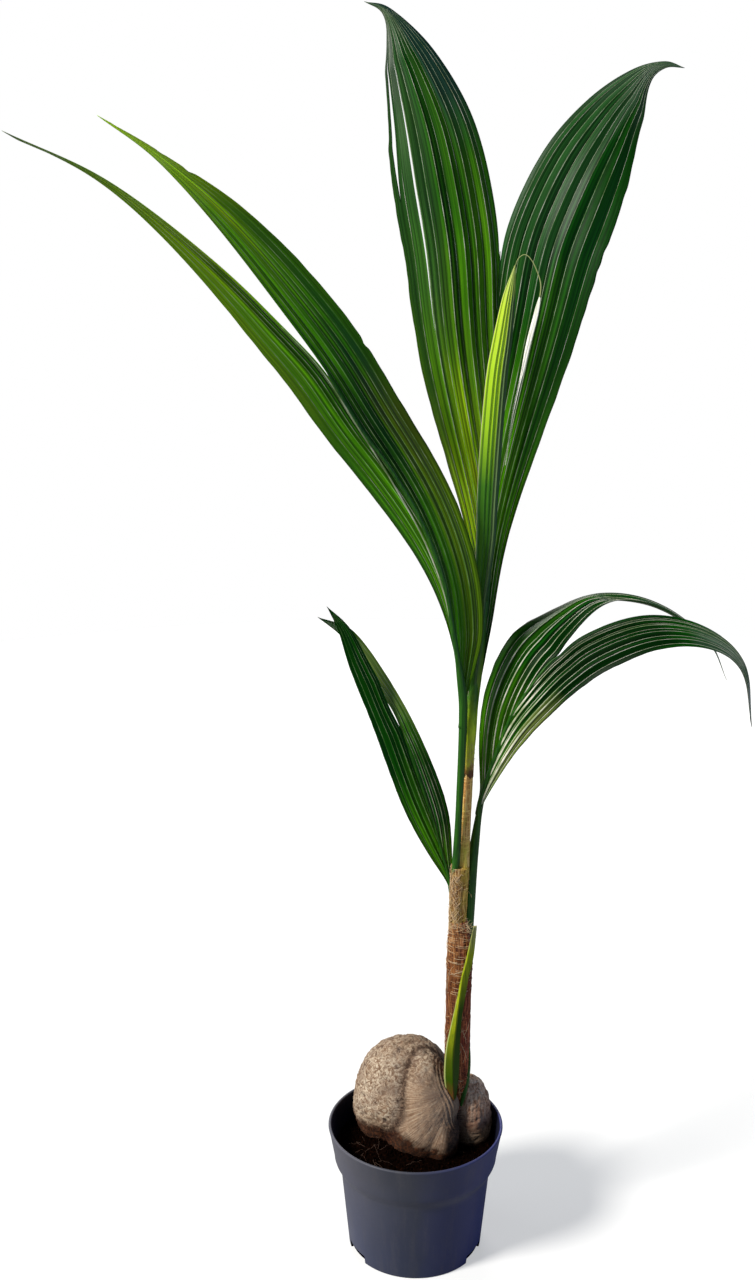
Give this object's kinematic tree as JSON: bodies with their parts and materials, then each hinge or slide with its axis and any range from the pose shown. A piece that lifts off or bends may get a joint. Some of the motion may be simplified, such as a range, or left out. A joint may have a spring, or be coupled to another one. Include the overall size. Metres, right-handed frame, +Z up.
{
  "type": "potted coconut palm",
  "caption": "Young coconut palm with pleated undivided fronds and a closed spear, growing from its half-sunk husk in a round nursery pot.",
  "frame": {"origin": "centre of the pot's flat underside", "axes": "+Z up along the pot's axis, -Y towards the side the smooth ridge of the husk and the front frond face, +X towards the arching frond"},
  "size_m": [0.6913, 0.2434, 1.2997],
  "materials": {
    "pot": "matt dark blue-grey plastic",
    "soil": "crumbly dark peat with pale fibres",
    "husk": "rough weathered fibrous husk",
    "sheath": "brown woven fibre with torn edges",
    "stem": "tan fibre over a yellow-green core",
    "stalk": "satin green",
    "blade": "satin pleated leaf with pale ribs",
    "spear": "satin yellow-green, folded"
  },
  "bodies": {
    "root": {"coconut": "husk", "cut_stalk": "stalk", "frond_arching_far_foot": "blade", "frond_arching_far_tip": "blade", "frond_arching_midrib": "stalk", "frond_arching_near_foot": "blade", "frond_arching_near_tip": "blade", "frond_back_left": "blade", "frond_back_midrib": "stalk", "frond_back_right": "blade", "frond_front_left": "blade", "frond_front_midrib": "stalk", "frond_front_right": "blade", "frond_small_left": "blade", "frond_small_midrib": "stalk", "frond_small_right": "blade", "inner_sheath": "sheath", "outer_sheath": "sheath", "pot": "pot", "soil": "soil", "spear": "spear", "stem_core": "stem"}
  },
  "joints": []
}
